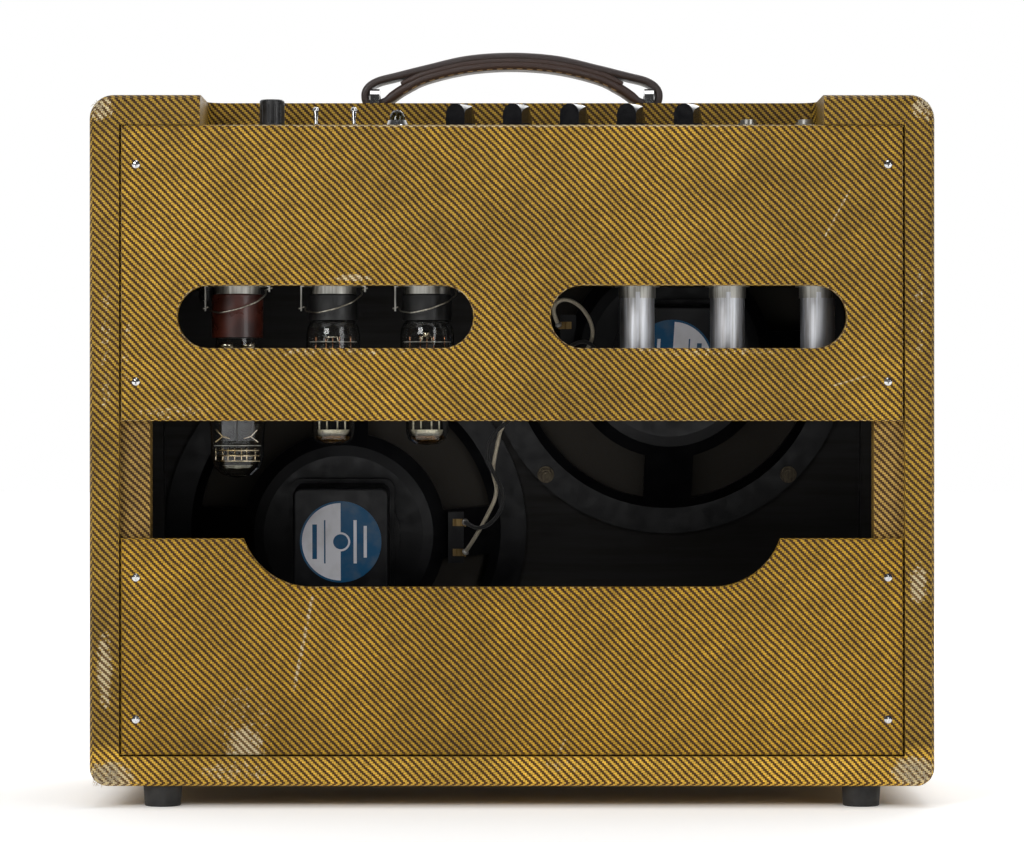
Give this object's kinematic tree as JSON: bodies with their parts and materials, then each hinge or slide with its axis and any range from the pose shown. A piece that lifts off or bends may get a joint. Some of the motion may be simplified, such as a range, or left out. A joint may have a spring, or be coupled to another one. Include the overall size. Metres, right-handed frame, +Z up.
{
  "type": "guitar amplifier",
  "caption": "Open-back combo guitar amplifier in a twill-covered cabinet, with top controls, hanging valves, a leather handle and loudspeakers on a leaning baffle.",
  "frame": {"origin": "on the floor under the middle of the cabinet", "axes": "+Z up; +Y towards the grille; the open back faces -Y; +X to the right as seen from the open back"},
  "size_m": [0.5588, 0.2669, 0.5116],
  "materials": {
    "stained_pine": "dark stain inside",
    "lacquered_tweed": "woven brown and gold twill under aged lacquer",
    "tweed_strip": "woven twill glued over wood strips",
    "chrome": "bright plate",
    "dark_board": "black stained plywood",
    "grille_fabric": "brown open weave grille cloth",
    "black_rubber": "matt",
    "zinc_steel": "dull zinc plate",
    "brown_leather": "waxed, dark brown",
    "black_plastic": "moulded phenolic",
    "knob_black": "gloss moulded phenolic",
    "dark_jewel": "dark faceted jewel",
    "maroon_plastic": "red-brown moulded phenolic",
    "clear_glass": "thin blown glass",
    "grey_nickel": "grey anode metal",
    "bright_aluminium": "satin drawn can",
    "black_enamel": "black enamel",
    "fibre_board": "fibre eyelet board",
    "capacitor_sleeve": "yellow sleeves",
    "label_paper": "printed paper disc",
    "tinned_brass": "tinned",
    "cone_paper": "ribbed dark paper",
    "cream_cotton": "waxed cotton over wire",
    "black_cotton": "waxed cotton over wire"
  },
  "bodies": {
    "cabinet": {"side_boards": "stained_pine", "top_board": "stained_pine", "bottom_board": "stained_pine", "tweed_cover": "lacquered_tweed", "cleats": "tweed_strip", "upper_back_panel": "lacquered_tweed", "lower_back_panel": "lacquered_tweed", "panel_screws": "chrome", "baffle_board": "dark_board", "grille_cloth": "grille_fabric", "front_trim": "lacquered_tweed", "feet": "black_rubber", "foot_screws": "zinc_steel", "handle_strap": "brown_leather", "handle_staples": "chrome", "chassis": "chrome", "chassis_screws": "zinc_steel", "mains_gland": "black_plastic", "fuse_holder": "black_plastic", "switch_bodies": "chrome", "pilot_bezel": "chrome", "pilot_jewel": "dark_jewel", "potentiometers": "zinc_steel", "input_jacks": "zinc_steel", "valve_sockets": "black_plastic", "socket_saddles": "zinc_steel", "rectifier_base": "maroon_plastic", "rectifier_glass": "clear_glass", "power_valve_bases": "black_plastic", "power_valve_glass": "clear_glass", "valve_plates": "grey_nickel", "preamp_valves": "clear_glass", "valve_shields": "bright_aluminium", "power_transformer": "black_enamel", "output_transformer": "black_enamel", "choke": "black_enamel", "circuit_board": "fibre_board", "capacitors": "capacitor_sleeve", "speaker_baskets": "black_enamel", "speaker_magnets": "black_enamel", "speaker_labels": "label_paper", "speaker_terminals": "tinned_brass", "speaker_bolts": "zinc_steel", "cone_edge_lower": "cone_paper", "cone_edge_upper": "cone_paper", "cream_lead": "cream_cotton", "black_lead": "black_cotton"},
    "fuse_cap": {"fuse_cap": "black_plastic"},
    "power_toggle": {"power_toggle": "chrome"},
    "standby_toggle": {"standby_toggle": "chrome"},
    "knob_1": {"knob_1": "knob_black"},
    "knob_2": {"knob_2": "knob_black"},
    "knob_3": {"knob_3": "knob_black"},
    "knob_4": {"knob_4": "knob_black"},
    "knob_5": {"knob_5": "knob_black"},
    "bail_rectifier": {"bail_rectifier": "zinc_steel"},
    "bail_power_left": {"bail_power_left": "zinc_steel"},
    "bail_power_right": {"bail_power_right": "zinc_steel"},
    "cone_lower": {"cone_lower": "cone_paper"},
    "cone_upper": {"cone_upper": "cone_paper"}
  },
  "joints": [
    {"name": "knob_1_turn", "type": "hinge", "parent": "cabinet", "child": "knob_1", "pos_m": [-0.0335, -0.0865, 0.4506], "axis": [0, 0, 1], "range_deg": [-150, 150]},
    {"name": "knob_2_turn", "type": "hinge", "parent": "cabinet", "child": "knob_2", "pos_m": [0.0047, -0.0865, 0.4506], "axis": [0, 0, 1], "range_deg": [-150, 150]},
    {"name": "knob_3_turn", "type": "hinge", "parent": "cabinet", "child": "knob_3", "pos_m": [0.0429, -0.0865, 0.4506], "axis": [0, 0, 1], "range_deg": [-150, 150]},
    {"name": "knob_4_turn", "type": "hinge", "parent": "cabinet", "child": "knob_4", "pos_m": [0.0811, -0.0865, 0.4506], "axis": [0, 0, 1], "range_deg": [-150, 150]},
    {"name": "knob_5_turn", "type": "hinge", "parent": "cabinet", "child": "knob_5", "pos_m": [0.1193, -0.0865, 0.4506], "axis": [0, 0, 1], "range_deg": [-150, 150]},
    {"name": "power_toggle_throw", "type": "hinge", "parent": "cabinet", "child": "power_toggle", "pos_m": [-0.1315, -0.0865, 0.4496], "axis": [1, 0, 0], "range_deg": [-24, 0]},
    {"name": "standby_toggle_throw", "type": "hinge", "parent": "cabinet", "child": "standby_toggle", "pos_m": [-0.106, -0.0865, 0.4496], "axis": [1, 0, 0], "range_deg": [-24, 0]},
    {"name": "fuse_cap_turn", "type": "hinge", "parent": "cabinet", "child": "fuse_cap", "pos_m": [-0.161, -0.0865, 0.4506], "axis": [0, 0, 1], "range_deg": [0, 90]},
    {"name": "bail_rectifier_swing", "type": "hinge", "parent": "cabinet", "child": "bail_rectifier", "pos_m": [-0.1841, -0.0885, 0.3378], "axis": [0.9578, 0, 0.2873], "range_deg": [-20, 10], "stiffness_Nm_per_rad": 0.01},
    {"name": "bail_power_left_swing", "type": "hinge", "parent": "cabinet", "child": "bail_power_left", "pos_m": [-0.1199, -0.0885, 0.3378], "axis": [0.9578, 0, 0.2873], "range_deg": [-20, 10], "stiffness_Nm_per_rad": 0.01},
    {"name": "bail_power_right_swing", "type": "hinge", "parent": "cabinet", "child": "bail_power_right", "pos_m": [-0.0569, -0.0885, 0.3378], "axis": [0.9578, 0, 0.2873], "range_deg": [-20, 10], "stiffness_Nm_per_rad": 0.01},
    {"name": "cone_lower_travel", "type": "slide", "parent": "cabinet", "child": "cone_lower", "axis": [0, -0.9976, -0.0698], "range_m": [-0.002, 0.002], "stiffness_N_per_m": 2500, "deforming": ["cone_edge_lower"]},
    {"name": "cone_upper_travel", "type": "slide", "parent": "cabinet", "child": "cone_upper", "axis": [0, -0.9976, -0.0698], "range_m": [-0.002, 0.002], "stiffness_N_per_m": 2500, "deforming": ["cone_edge_upper"]}
  ]
}
